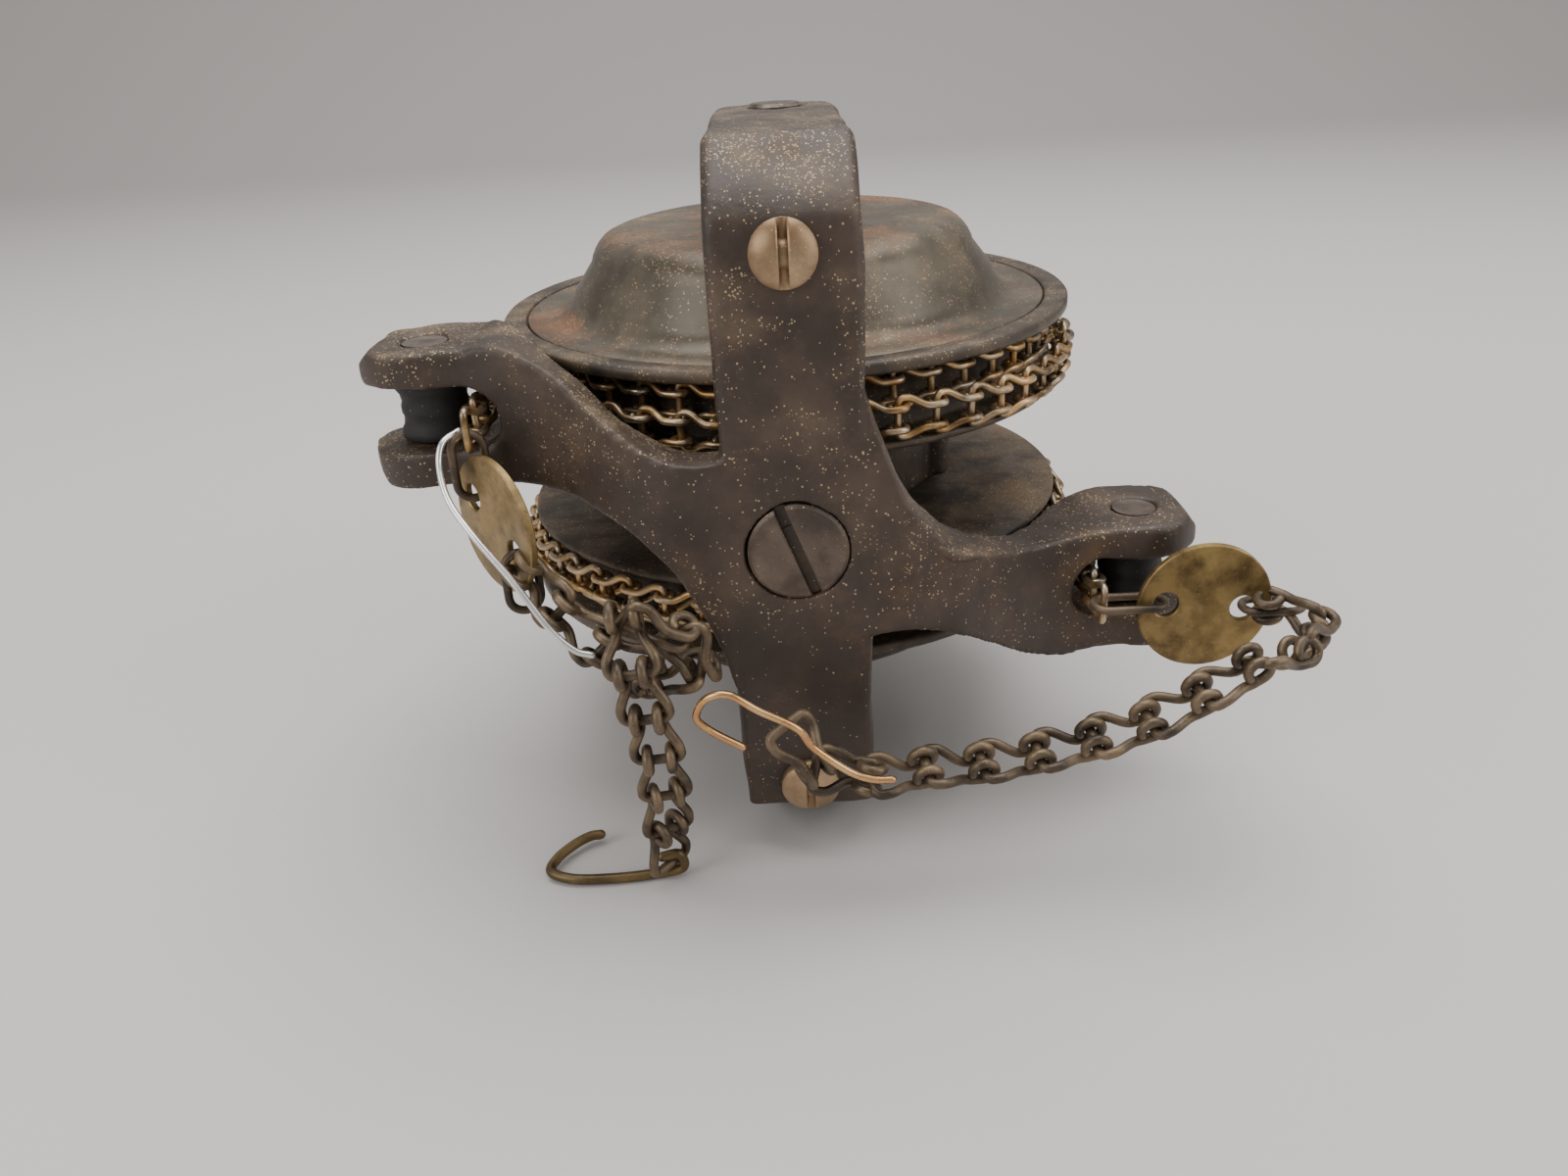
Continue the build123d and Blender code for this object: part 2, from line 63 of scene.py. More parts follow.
# ---- places read from the frame, mm ----
base, crown = box_mm("frame_casting")
MIDDLE = (base[2] + crown[2]) / 2
turn_low, turn_high = box_mm("upper_outer_chain_turn")
CHAIN_Z = (turn_low[2] + turn_high[2]) / 2 - MIDDLE
CHAIN_OUT = turn_high[0]
inner_high = box_mm("upper_inner_chain_turn")[1]
lead_low, lead_high = box_mm("upper_chain_lead")
LEAD_X = (lead_low[0] + lead_high[0]) / 2
drum_low, drum_high = box_mm("upper_chain_drum")
DRUM_R = drum_high[0]
FLANGE_Z, BRIM_Z = drum_low[2] - MIDDLE, drum_high[2] - MIDDLE
cover_high = box_mm("upper_dome_cover")[1]
COVER_EDGE, DOME_TOP = cover_high[0], cover_high[2] - MIDDLE
roller_low, roller_high = box_mm("upper_guide_roller")

PIN_X = (roller_high[0] - roller_low[0]) / 2 - roller_high[0]
PIN_Y = (roller_low[1] + roller_high[1]) / 2

# ---- sizes of what is seen, mm ----
EAR_R = 10.4
DRUM_WIRE = 1.2
DRUM_PITCH = 6.6
DRUM_CHAIN_WIDE = 7.1
LAMP_WIRE = 1.55
LAMP_PITCH = 8.5
LAMP_CHAIN_WIDE = 8.5
DRUM_WALL_R = 42.5
ROLLER_HALF = 4.8
SCREW_FRONT, SCREW_UP = 57.08, 42.0
SCREW_LEAN = 6.05  # degrees
SCREW_HIGH, SLOT_WIDE, SLOT_DEEP, SHANK_R = 3.1, 1.25, 1.9, 2.25
COPPER_THICK, STEEL_THICK, HOOK_THICK = 1.15, 1.0, 1.7


# ---- mesh helpers ----
def mesh_piece(name, verts, faces, material, body, replaces=()):
    """A smooth mesh object from millimetre points, riding on its body."""
    mesh = bpy.data.meshes.new(name)
    mesh.from_pydata((np.asarray(verts) * MM).tolist(), [], [list(f) for f in faces])
    mesh.polygons.foreach_set("use_smooth", np.ones(len(mesh.polygons), bool))
    mesh.update()
    obj = bpy.data.objects.new(name, mesh)
    bpy.context.scene.collection.objects.link(obj)
    mesh.materials.append(material)
    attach(obj, body)
    if replaces:
        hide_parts(*replaces)
    return obj


def grid_faces(rows, cols, wrap_rows=False, wrap_cols=True):
    """Quads of a rows by cols grid of points, joined end to end where it wraps."""
    r = np.arange(rows if wrap_rows else rows - 1)
    c = np.arange(cols if wrap_cols else cols - 1)
    i, j = np.meshgrid(r, c, indexing="ij")
    i2, j2 = (i + 1) % rows, (j + 1) % cols
    quads = [i * cols + j, i * cols + j2, i2 * cols + j2, i2 * cols + j]
    return np.stack(quads, -1).reshape(-1, 4)


def smoothstep(x):
    """0 to 1 with level ends: 3x^2 - 2x^3 of x held between 0 and 1."""
    x = np.clip(x, 0, 1)
    return x * x * (3 - 2 * x)


def carried_frames(line):
    """Tangent and two cross directions along a line, each turned as little as possible."""
    tangent = np.gradient(line, axis=0)
    tangent /= np.linalg.norm(tangent, axis=1, keepdims=True)
    start = np.array([0.31, 0.22, 0.93])
    side = np.cross(tangent[0], start)
    sides = [side / np.linalg.norm(side)]
    for t in tangent[1:]:
        side = sides[-1] - t * (sides[-1] @ t)
        sides.append(side / np.linalg.norm(side))
    sides = np.array(sides)
    return tangent, sides, np.cross(tangent, sides)


def tube(line, radius, sides=10):
    """A round bar along a line: each point plus radius times the unit circle across it.

    Both ends are closed by rings that shrink to a point, so they are rounded.
    """
    line = np.asarray(line, float)
    tangent, u, v = carried_frames(line)
    radius = np.broadcast_to(np.asarray(radius, float), (len(line),))
    cap = np.radians([80, 55, 28])
    grow = np.cos(cap)[:, None]
    push = np.sin(cap)[:, None]
    first = line[:1] - tangent[:1] * radius[0] * push
    last = line[-1:] + tangent[-1:] * radius[-1] * push[::-1]
    centres = np.concatenate([first, line, last])
    rad = np.concatenate([radius[0] * grow[:, 0], radius, radius[-1] * grow[::-1, 0]])
    u = np.concatenate([np.repeat(u[:1], 3, 0), u, np.repeat(u[-1:], 3, 0)])
    v = np.concatenate([np.repeat(v[:1], 3, 0), v, np.repeat(v[-1:], 3, 0)])
    angle = np.linspace(0, 2 * np.pi, sides, endpoint=False)
    ring = np.cos(angle)[None, :, None] * u[:, None] + np.sin(angle)[None, :, None] * v[:, None]
    verts = (centres[:, None] + ring * rad[:, None, None]).reshape(-1, 3)
    faces = grid_faces(len(centres), sides).tolist()
    faces.append(list(range(sides))[::-1])
    tail = (len(centres) - 1) * sides
    faces.append(list(range(tail, tail + sides)))
    return verts, faces


def curve_through(points, steps=14):
    """A smooth line through given points: uniform Catmull-Rom cubics, with t 0 to 1.

    Each is half of 2b + (c - a)t + (2a - 5b + 4c - d)t^2 + (3b - a - 3c + d)t^3.
    """
    p = np.asarray(points, float)
    p = np.concatenate([2 * p[:1] - p[1:2], p, 2 * p[-1:] - p[-2:-1]])
    t = np.linspace(0, 1, steps, endpoint=False)[None, :, None]
    a, b, c, d = (p[k:len(p) - 3 + k, None] for k in range(4))
    square, cube = 2 * a - 5 * b + 4 * c - d, 3 * b - a - 3 * c + d
    line = 0.5 * (2 * b + (c - a) * t + square * t**2 + cube * t**3)
    return np.concatenate([line.reshape(-1, p.shape[1]), p[-2:-1]])


def lathe(profile, segments, wobble=None):
    """A closed profile of (radius, height) turned about the axle; wobble moves its points."""
    profile = np.asarray(profile, float)
    angle = np.linspace(0, 2 * np.pi, segments, endpoint=False)
    r, z = profile[:, :1], profile[:, 1:]
    radial, height = r + 0 * angle, z + 0 * angle
    if wobble:
        radial, height = wobble(radial, height, angle[None, :])
    verts = np.stack([radial * np.cos(angle), radial * np.sin(angle), height], -1)
    faces = grid_faces(len(profile), segments, wrap_rows=True)
    return verts.reshape(-1, 3), faces


def arc(cx, cz, radius, start, end, n=8):
    """Points of an arc in a profile, angles in degrees."""
    a = np.radians(np.linspace(start, end, n))
    return np.stack([cx + radius * np.cos(a), cz + radius * np.sin(a)], -1)


def half_turn(verts):
    """The same points on the other half: turned 180 degrees about the Y line of the hub."""
    return np.asarray(verts) * [-1, 1, -1]


def lift(verts):
    """Points measured from the hub's middle, raised to stand on the base."""
    return np.asarray(verts) + [0, 0, MIDDLE]


# ---- ladder chain ----
def link_line(pitch, wire, wide, play, detail):
    """Middle line of a ladder link: hook, leg, rung, leg, hook.

    A hook is three quarters of a circle about the next rung, a leg steps in from the rung's
    width to the hook's and up to the top of the circle, and a corner is a quarter circle.
    """
    r = wire + play
    outer = (wide - wire) / 2
    inner = outer - wire - play
    bend = 0.75 * wire
    sweep = np.radians(np.linspace(-195, 90, 4 * detail))
    hook = np.stack([pitch + r * np.cos(sweep), inner + 0 * sweep, r * np.sin(sweep)], -1)
    x = np.linspace(pitch - 0.35 * r, bend, 3 * detail)
    step = smoothstep((x - 0.22 * pitch) / (0.5 * pitch))
    rise = smoothstep((x - 0.2 * pitch) / (0.62 * pitch))
    leg = np.stack([x, outer + (inner - outer) * step, r * rise], -1)
    turn = np.radians(np.linspace(0, 90, detail + 2))[1:]
    corner = np.stack([bend - bend * np.sin(turn), outer - bend + bend * np.cos(turn), 0 * turn], -1)
    half = np.concatenate([hook, leg, corner])
    return np.concatenate([half, half[::-1] * [1, -1, 1]])


def link_mesh(pitch, wire, wide, play, detail, sides):
    """Points and faces of one ladder link."""
    return tube(link_line(pitch, wire, wide, play, detail), wire / 2, sides)


def chain_mesh(link, rungs, across, seed):
    """Links from rung to rung: each is turned so that X runs along and Y along its rung."""
    verts, faces = np.asarray(link[0]), link[1]
    rungs, across = np.asarray(rungs, float), np.asarray(across, float)
    along = rungs[1:] - rungs[:-1]
    along /= np.linalg.norm(along, axis=1, keepdims=True)
    y = across[:-1] - along * np.sum(across[:-1] * along, 1, keepdims=True)
    jitter = np.random.default_rng(seed).normal(0, 0.045, (len(along), 1))
    y += jitter * np.cross(along, y)
    y /= np.linalg.norm(y, axis=1, keepdims=True)
    z = np.cross(along, y)
    turn = np.stack([along, y, z], -1)
    placed = np.einsum("nij,vj->nvi", turn, verts) + rungs[:-1, None]
    all_faces = [[i + k * len(verts) for i in f] for k in range(len(along)) for f in faces]
    return placed.reshape(-1, 3), all_faces


def join(*meshes):
    """Several point and face lists as one."""
    verts, faces, count = [], [], 0
    for v, f in meshes:
        verts.append(np.asarray(v))
        faces += [[i + count for i in face] for face in f]
        count += len(v)
    return np.concatenate(verts), faces


def stepped(route, pitch):
    """Rung middles and rung directions, a pitch apart along a route of (x, y, z, dx, dy, dz).

    The pitch is eased by up to 3 % so that the last rung lands on the route's end.
    """
    line = curve_through(route, 40)
    best = None
    for ease in np.linspace(0.97, 1.03, 31):
        picked, k = [0], 0
        while True:
            far = np.linalg.norm(line[k:, :3] - line[k, :3], axis=1) >= pitch * ease
            if not far.any():
                break
            k += int(np.argmax(far))
            picked.append(k)
        left = np.linalg.norm(line[-1, :3] - line[k, :3])
        if best is None or left < best[0]:
            best = left, picked
    rungs = line[best[1]]
    across = rungs[:, 3:] / np.linalg.norm(rungs[:, 3:], axis=1, keepdims=True)
    return rungs[:, :3], across


# ---- materials ----
def new_group(name, inputs, outputs):
    """A shader node group with its input and output sockets."""
    group = bpy.data.node_groups.new(name, "ShaderNodeTree")
    for socket, kind, value in inputs:
        made = group.interface.new_socket(socket, in_out="INPUT", socket_type=kind)
        made.default_value = value
    for socket, kind in outputs:
        group.interface.new_socket(socket, in_out="OUTPUT", socket_type=kind)
    return group


FLOAT, COLOR = "NodeSocketFloat", "NodeSocketColor"


class Wires:
    """Short calls that add nodes to a tree and link them."""

    def __init__(self, tree):
        """Works in one node tree."""
        self.nodes, self.links = tree.nodes, tree.links

    def node(self, kind, **values):
        """A new node with its settings."""
        made = self.nodes.new(kind)
        for key, value in values.items():
            setattr(made, key, value)
        return made

    def feed(self, socket, value):
        """Links a socket to an output, or gives it a plain value."""
        if isinstance(value, bpy.types.NodeSocket):
            self.links.new(value, socket)
        else:
            socket.default_value = value

    def noise(self, vector, scale, detail=4.0, rough=0.6):
        """A noise pattern, about 0.5 in the middle."""
        made = self.node("ShaderNodeTexNoise")
        self.feed(made.inputs["Vector"], vector)
        self.feed(made.inputs["Scale"], scale)
        made.inputs["Detail"].default_value = detail
        made.inputs["Roughness"].default_value = rough
        return made.outputs["Fac"]

    def math(self, operation, a, b=0.0, clamp=False):
        """One step of arithmetic on two values."""
        made = self.node("ShaderNodeMath", operation=operation, use_clamp=clamp)
        self.feed(made.inputs[0], a)
        self.feed(made.inputs[1], b)
        return made.outputs[0]

    def band(self, value, low, high, out_low=0.0, out_high=1.0):
        """A value eased from one range to another."""
        made = self.node("ShaderNodeMapRange", interpolation_type="SMOOTHSTEP")
        for socket, given in zip(made.inputs, (value, low, high, out_low, out_high)):
            self.feed(socket, given)
        return made.outputs[0]

    def mix(self, factor, a, b):
        """Colour a towards colour b by a factor."""
        made = self.node("ShaderNodeMix", data_type="RGBA")
        self.feed(made.inputs["Factor"], factor)
        self.feed(made.inputs[6], a)
        self.feed(made.inputs[7], b)
        return made.outputs[2]


def aged_metal_group():
    """Old metal: mottled colour, rust patches, dust specks that favour faces turned up, lighter convex
    edges that are partly worn metal and partly a painted edge highlight, and the height and roughness that
    go with them."""
    group = new_group(
        "aged_metal",
        [("Metal", COLOR, (0.05, 0.04, 0.03, 1)), ("Dark", COLOR, (0.02, 0.015, 0.012, 1)),
         ("Rust", COLOR, (0.2, 0.07, 0.02, 1)), ("Rust Amount", FLOAT, 0.3),
         ("Dust", COLOR, (0.45, 0.36, 0.24, 1)), ("Dust Amount", FLOAT, 0.3),
         ("Worn", COLOR, (0.3, 0.26, 0.2, 1)), ("Worn Amount", FLOAT, 0.3),
         ("Rust Up", FLOAT, 0.0), ("Scale", FLOAT, 1.0), ("Roughness", FLOAT, 0.55)],
        [("Color", COLOR), ("Roughness", FLOAT), ("Height", FLOAT)],
    )
    w = Wires(group)
    given = w.node("NodeGroupInput").outputs
    out = w.node("NodeGroupOutput").inputs
    place = w.node("ShaderNodeTexCoord").outputs["Object"]
    geometry = w.node("ShaderNodeNewGeometry")

    def scaled(size):
        """A pattern's size times the group's Scale."""
        return w.math("MULTIPLY", given["Scale"], size)

    mottle = w.noise(place, scaled(70.0), 6.0, 0.65)
    color = w.mix(w.band(mottle, 0.35, 0.68), given["Dark"], given["Metal"])
    patch = w.noise(place, scaled(38.0), 8.0, 0.72)
    up = w.node("ShaderNodeSeparateXYZ")
    w.feed(up.inputs[0], geometry.outputs["Normal"])
    top = w.math("MULTIPLY", w.band(up.outputs["Z"], 0.35, 1.0), given["Rust Up"])
    amount = w.math("ADD", given["Rust Amount"], top)
    edge = w.math("SUBTRACT", 0.78, w.math("MULTIPLY", amount, 0.42))
    rust = w.band(patch, edge, w.math("ADD", edge, 0.22))
    color = w.mix(w.math("MULTIPLY", rust, 0.85), color, given["Rust"])
    # Convex edges, broken up by noise, are lightened towards the edge colour: partly worn metal, partly a
    # painted edge highlight.
    point = w.band(geometry.outputs["Pointiness"], 0.53, 0.62)
    rub = w.band(w.noise(place, scaled(150.0), 4.0, 0.6), 0.35, 0.6)
    edge_wear_and_highlight = w.math("MULTIPLY", w.math("MULTIPLY", point, rub), given["Worn Amount"], True)
    color = w.mix(edge_wear_and_highlight, color, given["Worn"])
    # The dust chance drops towards the base (Object Z below 9 cm), so lower parts come out darker towards
    # the bottom.
    high = w.node("ShaderNodeSeparateXYZ")
    w.feed(high.inputs[0], place)
    facing = w.band(up.outputs["Z"], -0.1, 0.9, 0.3, 1.0)
    facing = w.math("MULTIPLY", facing, w.band(high.outputs["Z"], 0.0, 0.09, 0.25, 1.0))
    grains = w.node("ShaderNodeTexVoronoi", feature="F1")
    w.feed(grains.inputs["Vector"], place)
    w.feed(grains.inputs["Scale"], scaled(3000.0))
    size = w.node("ShaderNodeSeparateColor")
    w.feed(size.inputs[0], grains.outputs["Color"])
    crowd = w.noise(place, scaled(75.0), 5.0, 0.7)
    chance = w.math("MULTIPLY", facing, given["Dust Amount"])
    chance = w.math("MULTIPLY", chance, w.band(crowd, 0.42, 0.66, 0.1, 1.0))
    picked = w.math("LESS_THAN", size.outputs["Red"], chance)
    radius = w.math("MULTIPLY", w.math("POWER", size.outputs["Green"], 1.6), 0.55)
    speck = w.math("MULTIPLY", w.math("LESS_THAN", grains.outputs["Distance"], radius), picked)
    film = w.math("MULTIPLY", w.math("MULTIPLY", chance, w.band(mottle, 0.4, 0.7)), 0.22, True)
    color = w.mix(film, color, given["Dust"])
    color = w.mix(speck, color, given["Dust"])
    fine = w.noise(place, scaled(420.0), 4.0, 0.7)
    height = w.math("ADD", w.math("MULTIPLY", patch, 0.5), w.math("MULTIPLY", fine, 0.35))
    height = w.math("ADD", height, w.math("MULTIPLY", speck, 0.6))
    rough = w.math("ADD", given["Roughness"], w.math("MULTIPLY", w.math("ADD", rust, film), 0.3))
    rough = w.math("SUBTRACT", rough, w.math("MULTIPLY", edge_wear_and_highlight, 0.2))
    rough = w.math("ADD", rough, w.math("MULTIPLY", w.math("SUBTRACT", mottle, 0.5), 0.35), True)
    w.feed(out["Color"], color)
    w.feed(out["Roughness"], rough)
    w.feed(out["Height"], height)
    return group


AGED = aged_metal_group()


def srgb(red, green, blue):
    """A colour given as screen values 0 to 255, made linear."""
    c = np.array([red, green, blue]) / 255
    lin = np.where(c <= 0.04045, c / 12.92, ((c + 0.055) / 1.055) ** 2.4)
    return (*lin.tolist(), 1.0)


def aged_material(name, metallic, bump, depth, **values):
    """A metal finished by the aged metal group, with its relief as a bump."""
    material = bpy.data.materials.new(name)
    material.use_nodes = True
    w = Wires(material.node_tree)
    shader = material.node_tree.nodes["Principled BSDF"]
    aged = w.node("ShaderNodeGroup", node_tree=AGED)
    for key, value in values.items():
        aged.inputs[key.replace("_", " ")].default_value = value
    relief = w.node("ShaderNodeBump")
    relief.inputs["Strength"].default_value = bump
    relief.inputs["Distance"].default_value = depth * MM
    w.feed(relief.inputs["Height"], aged.outputs["Height"])
    w.feed(shader.inputs["Base Color"], aged.outputs["Color"])
    w.feed(shader.inputs["Roughness"], aged.outputs["Roughness"])
    w.feed(shader.inputs["Normal"], relief.outputs["Normal"])
    shader.inputs["Metallic"].default_value = metallic
    return material


# The frame's edges are lightened to a greyish brown: a painted edge highlight as well as wear.
iron = aged_material(
    "umber_cast_iron", 0.2, 0.85, 0.4, Metal=srgb(74, 60, 50), Dark=srgb(54, 44, 37),
    Rust=srgb(106, 76, 46), Rust_Amount=0.55, Dust=srgb(166, 144, 112), Dust_Amount=1.7,
    Worn=srgb(140, 122, 106), Worn_Amount=0.55, Scale=1.0, Roughness=0.52)
drum_metal = aged_material(
    "dark_drum_metal", 0.3, 0.5, 0.22, Metal=srgb(88, 74, 60), Dark=srgb(50, 43, 37),
    Rust=srgb(112, 80, 56), Rust_Amount=0.5, Dust=srgb(160, 136, 104), Dust_Amount=1.3,
    Worn=srgb(134, 116, 94), Worn_Amount=0.5, Rust_Up=0.1, Scale=1.1, Roughness=0.52)
cover_metal = aged_material(
    "olive_sheet_steel", 0.5, 0.3, 0.12, Metal=srgb(104, 96, 82), Dark=srgb(78, 70, 59),
    Rust=srgb(120, 84, 60), Rust_Amount=0.2, Dust=srgb(160, 134, 104), Dust_Amount=1.2,
    Worn=srgb(150, 134, 112), Worn_Amount=0.3, Rust_Up=0.62, Scale=1.0, Roughness=0.38)
# The chain's near-white edge colour is a painted silvery highlight as well as wear.
drum_chain = aged_material(
    "golden_chain_wire", 0.85, 0.5, 0.1, Metal=srgb(198, 156, 98), Dark=srgb(84, 64, 40),
    Rust=srgb(70, 52, 36), Rust_Amount=0.6, Dust=srgb(150, 130, 100), Dust_Amount=0.15,
    Worn=srgb(220, 208, 186), Worn_Amount=0.9, Scale=1.8, Roughness=0.4)
lamp_chain = aged_material(
    "rusty_bronze_wire", 0.5, 0.8, 0.18, Metal=srgb(112, 95, 76), Dark=srgb(56, 47, 38),
    Rust=srgb(104, 76, 56), Rust_Amount=0.5, Dust=srgb(170, 138, 88), Dust_Amount=0.3,
    Worn=srgb(176, 150, 112), Worn_Amount=0.7, Scale=1.7, Roughness=0.46)
disc_brass = aged_material(
    "tarnished_brass_sheet", 0.7, 0.25, 0.06, Metal=srgb(150, 124, 80), Dark=srgb(88, 72, 44),
    Rust=srgb(78, 62, 40), Rust_Amount=0.85, Dust=srgb(176, 152, 100), Dust_Amount=0.1,
    Worn=srgb(200, 172, 118), Worn_Amount=0.8, Scale=1.2, Roughness=0.42)
dark_disc = aged_material(
    "dark_patinated_brass", 0.65, 0.3, 0.06, Metal=srgb(120, 98, 58), Dark=srgb(78, 60, 36),
    Rust=srgb(168, 144, 82), Rust_Amount=0.42, Dust=srgb(150, 128, 80), Dust_Amount=0.2,
    Worn=srgb(190, 162, 104), Worn_Amount=0.9, Scale=1.5, Roughness=0.42)
screw_brass = aged_material(
    "pink_screw_brass", 0.65, 0.3, 0.06, Metal=srgb(178, 150, 118), Dark=srgb(134, 108, 80),
    Rust=srgb(118, 112, 84), Rust_Amount=0.55, Dust=srgb(196, 170, 130), Dust_Amount=0.3,
    Worn=srgb(214, 186, 150), Worn_Amount=0.5, Scale=1.8, Roughness=0.42)
hook_brass = aged_material(
    "olive_gold_wire", 0.7, 0.5, 0.12, Metal=srgb(124, 104, 70), Dark=srgb(76, 63, 42),
    Rust=srgb(88, 68, 44), Rust_Amount=0.5, Dust=srgb(160, 140, 100), Dust_Amount=0.1,
    Worn=srgb(176, 152, 106), Worn_Amount=0.6, Scale=1.7, Roughness=0.4)
black = aged_material(
    "roller_black", 0.1, 0.5, 0.2, Metal=srgb(46, 44, 43), Dark=srgb(24, 23, 23),
    Rust=srgb(66, 54, 44), Rust_Amount=0.35, Dust=srgb(120, 106, 88), Dust_Amount=0.3,
    Worn=srgb(84, 80, 78), Worn_Amount=0.4, Scale=1.2, Roughness=0.65)
copper = aged_material(
    "bare_copper_wire", 0.95, 0.2, 0.03, Metal=srgb(216, 176, 126), Dark=srgb(184, 138, 92),
    Rust=srgb(140, 96, 62), Rust_Amount=0.3, Dust=srgb(200, 170, 140), Dust_Amount=0.02,
    Worn=srgb(240, 205, 160), Worn_Amount=0.4, Scale=1.8, Roughness=0.28)
tinned = aged_material(
    "tinned_steel_wire", 0.9, 0.1, 0.02, Metal=srgb(240, 240, 240), Dark=srgb(214, 213, 210),
    Rust=srgb(180, 172, 162), Rust_Amount=0.1, Dust=srgb(220, 215, 205), Dust_Amount=0.02,
    Worn=srgb(245, 245, 245), Worn_Amount=0.3, Scale=1.6, Roughness=0.25)
dull_steel = aged_material(
    "dull_axle_steel", 0.7, 0.3, 0.08, Metal=srgb(104, 92, 84), Dark=srgb(66, 56, 50),
    Rust=srgb(120, 84, 58), Rust_Amount=0.4, Dust=srgb(180, 156, 122), Dust_Amount=0.3,
    Worn=srgb(150, 140, 130), Worn_Amount=0.5, Scale=1.3, Roughness=0.45)

slot_material = {
    "cast_iron_frame": iron, "drum_steel": drum_metal, "cover_steel": cover_metal,
    "screw_brass": screw_brass, "bush_brass": screw_brass, "axle_steel": dull_steel,
    "spring_steel": dull_steel, "drum_chain_bronze": drum_chain, "lamp_chain_bronze": lamp_chain,
    "disc_brass": disc_brass, "hook_brass": hook_brass, "roller_black": black,
    "tie_copper": copper, "tie_steel": tinned,
}
slot_of = {s["node"]: s["material_slot"] for s in frame["record"]["subparts"]}
for node, obj in frame["nodes"].items():
    for place in obj.material_slots:
        place.material = slot_material[slot_of[node]]
frame["nodes"]["right_stop_disc"].material_slots[0].material = dark_disc


# ---- cast pieces ----
def hand_finished(points):
    """The frame's fork ends and strap ends as they came from the pattern.

    Beyond each roller pin the plan is held inside a circle about the pin, the ears are
    thickened into the slot and a little outwards, and the strap's face above and below the
    creases leans back by a further share of its height.
    """
    x, y, z = points.T
    for side in (-1, 1):
        dx, dy = x - side * PIN_X, y - PIN_Y
        ahead = dx * side * 0.91 + dy * 0.41
        reach = np.hypot(dx, dy)
        over = np.where((ahead > -2) & (reach > EAR_R) & (side * x > 48), reach, EAR_R)
        pull = 1 + (EAR_R / over - 1) * smoothstep((ahead + 2) / 4)
        x, y = side * PIN_X + dx * pull, PIN_Y + dy * pull
    for side in (-1, 1):
        rise = z + side * CHAIN_Z
        thick = np.where(np.abs(rise) > 6, 5.1 + (np.abs(rise) - 6) * 1.31, np.abs(rise) * 0.85)
        z = z + (np.sign(rise) * thick - rise) * smoothstep((side * x - 37) / 7)
    strap = (np.abs(x) < 14) * smoothstep((-38 - y) / 14)
    foot = strap * smoothstep((-46 - z) / 11)
    x = x * (1 - 0.28 * foot * foot)
    y = y + strap * np.where(z > 0, 0.38, 0.9) * np.maximum(np.abs(z) - 46.5, 0)
    return np.stack([x, y, z], -1)


def cast_copy(node, voxel, lumps, material, shape=None):
    """A CAD node's copy with cast skin: remeshed, its edges softened, and its surface moved
    along the normal by three sizes of slow waves."""
    source = frame["nodes"][node]
    mesh = source.data.copy()
    obj = bpy.data.objects.new(node + "_skin", mesh)
    bpy.context.scene.collection.objects.link(obj)
    weld = obj.modifiers.new("weld", "WELD")
    weld.merge_threshold = 0.01 * MM
    grid = obj.modifiers.new("remesh", "REMESH")
    grid.mode, grid.voxel_size = "VOXEL", voxel * MM
    soften = obj.modifiers.new("smooth", "SMOOTH")
    soften.factor, soften.iterations = 0.5, 5
    evaluated = obj.evaluated_get(bpy.context.evaluated_depsgraph_get())
    made = bpy.data.meshes.new_from_object(evaluated)
    obj.modifiers.clear()
    obj.data = made
    count = len(made.vertices)
    points, normals = np.zeros(count * 3, np.float32), np.zeros(count * 3, np.float32)
    made.vertices.foreach_get("co", points)
    made.vertices.foreach_get("normal", normals)
    points, normals = points.reshape(-1, 3), normals.reshape(-1, 3)
    rng = np.random.default_rng(7)
    move = np.zeros(count)
    for size, depth in ((0.7, 0.35), (2.2, 0.3), (5.0, 0.22)):
        for _ in range(7):
            way = rng.normal(size=3)
            way *= size * rng.uniform(0.6, 1.4) / np.linalg.norm(way) / MM / 6
            move += depth / 7 * np.sin(points @ way + rng.uniform(0, 6.28))
    points += normals * (move * lumps * MM)[:, None].astype(np.float32)
    if shape:
        points = (shape(points / MM - [0, 0, MIDDLE]) + [0, 0, MIDDLE]) * MM
    low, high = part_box(node)
    points = np.clip(points, np.array(low, np.float32), np.array(high, np.float32))
    made.vertices.foreach_set("co", points.ravel())
    made.polygons.foreach_set("use_smooth", np.ones(len(made.polygons), bool))
    made.materials.clear()
    made.materials.append(material)
    made.update()
    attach(obj, "frame")
    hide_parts(node)
    return obj


cast_copy("frame_casting", 0.55, 1.3, iron, hand_finished)
cast_copy("hanger_post", 0.7, 0.8, iron)


# ---- drums ----
def cover_profile():
    """The cover's section: outside from the edge over the flare, side and top, then back inside."""
    sheet, edge, top = 1.0, COVER_EDGE, DOME_TOP
    brim = BRIM_Z - 0.1
    flare = arc(41.8, brim + 4.9, 4.9, -90, -170, 9)
    crest = arc(27.6, top - 6.2, 6.2, 12, 90, 9)
    outside = np.concatenate([[(edge, brim - 0.9), (edge, brim - 0.15), (edge - 0.2, brim)], flare, crest])
    hole = [(20.0, top), (11.0, top), (10.6, top - 0.15), (10.6, top - sheet), (20.0, top - sheet)]
    inside = outside[3:][::-1]
    inside = inside + np.where(inside[:, :1] > 36, [[-0.4, -sheet]], [[-sheet, -sheet]])
    return np.concatenate([outside, hole, inside])


def dented(radial, height, angle):
    """Sheet that isn't quite round: slow waves of a tenth of a millimetre or two."""
    wave = 0.10 * np.sin(3 * angle + 0.5) + 0.07 * np.sin(7 * angle + height * 0.3)
    wave += 0.05 * np.sin(13 * angle + radial * 0.4)
    free = smoothstep((radial - 9) / 4) * smoothstep((45.2 - radial) / 3)
    return radial + wave * free, height + 0.6 * wave * free * (height < DOME_TOP - 0.5)


